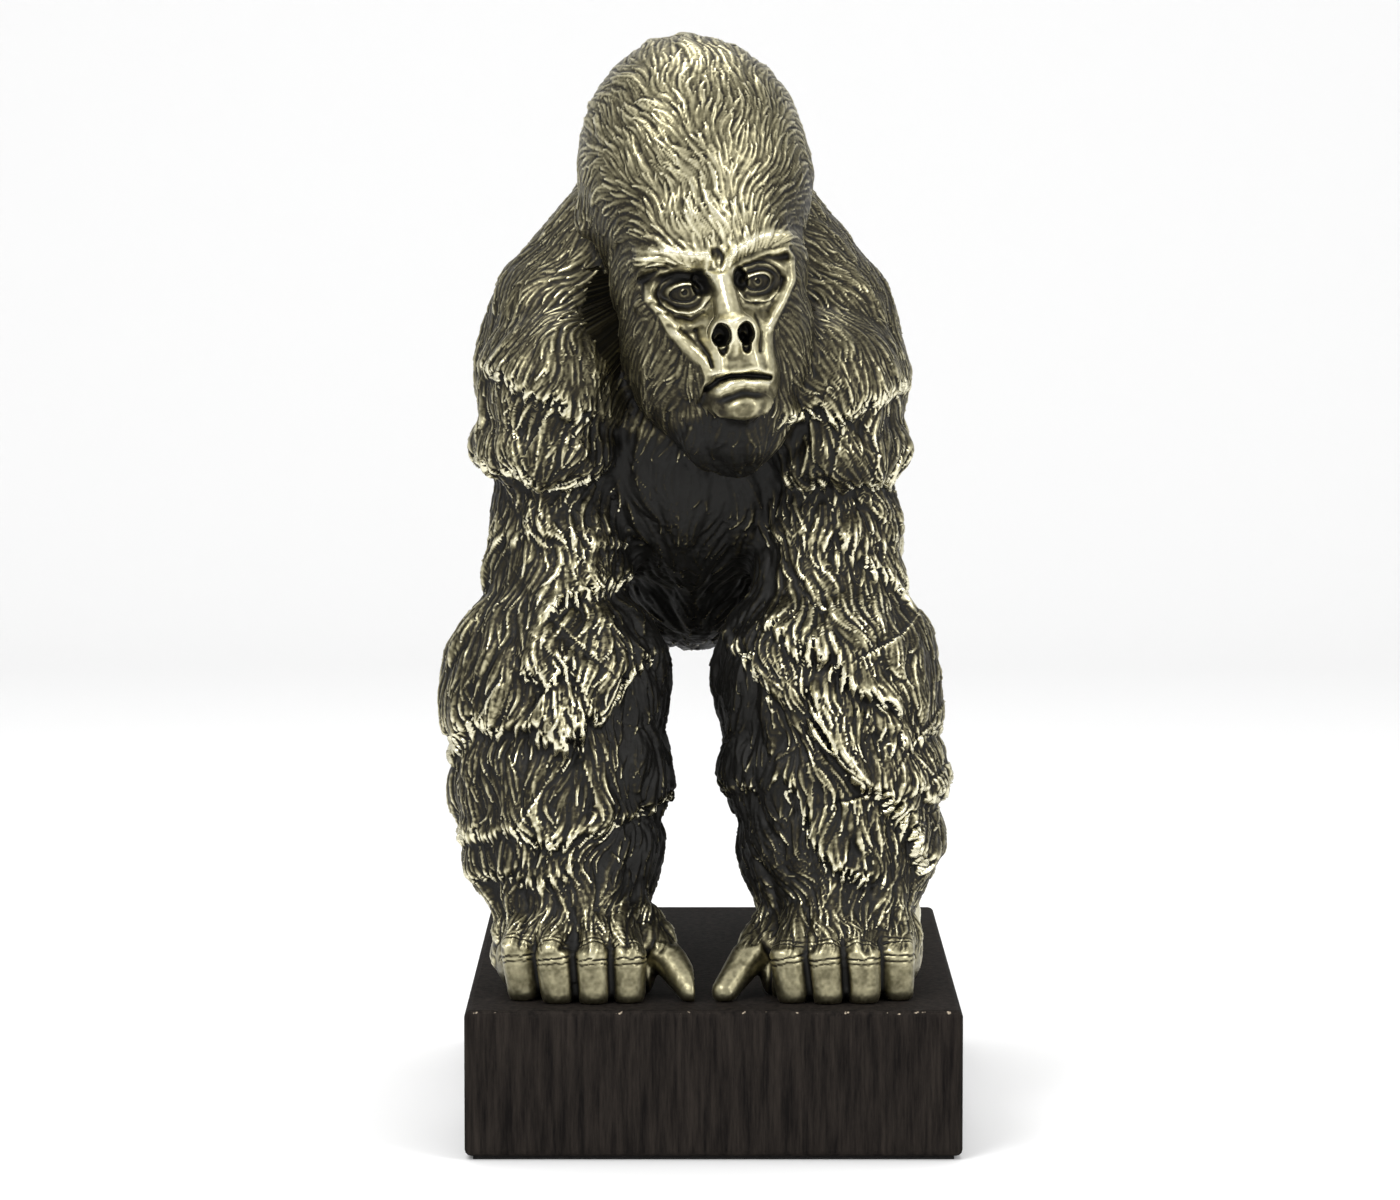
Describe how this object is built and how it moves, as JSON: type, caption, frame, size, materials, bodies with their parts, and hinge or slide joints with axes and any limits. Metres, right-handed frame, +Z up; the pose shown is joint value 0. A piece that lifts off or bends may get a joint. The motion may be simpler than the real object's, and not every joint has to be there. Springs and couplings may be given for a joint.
{
  "type": "gorilla figurine",
  "caption": "Cast brass gorilla on all fours, with a shaggy coat and its head turned a little, screwed to an ebonised wooden plinth with a baize underside.",
  "frame": {"origin": "middle of the underside of the baize, which is the plane the figurine stands on", "axes": "+Z up, the gorilla looks along -Y, its right arm is on the -X side"},
  "size_m": [0.1918, 0.2633, 0.406],
  "materials": {
    "antique_brass": "antiqued: dark brown-black patina in the hollows, rubbed pale gold on the ridges",
    "ebonised_wood": "black-brown stained, satin lacquer over a streaky straight grain, worn at the top edge",
    "zinc_plated_steel": "zinc plated",
    "black_baize": "short felted nap"
  },
  "bodies": {
    "root": {"gorilla_casting": "antique_brass", "plinth_block": "ebonised_wood", "fixing_screw_right_hand": "zinc_plated_steel", "fixing_screw_left_hand": "zinc_plated_steel", "fixing_screw_right_foot": "zinc_plated_steel", "fixing_screw_left_foot": "zinc_plated_steel", "fixing_washer_right_hand": "zinc_plated_steel", "fixing_washer_left_hand": "zinc_plated_steel", "fixing_washer_right_foot": "zinc_plated_steel", "fixing_washer_left_foot": "zinc_plated_steel", "baize_underlay": "black_baize"}
  },
  "joints": []
}
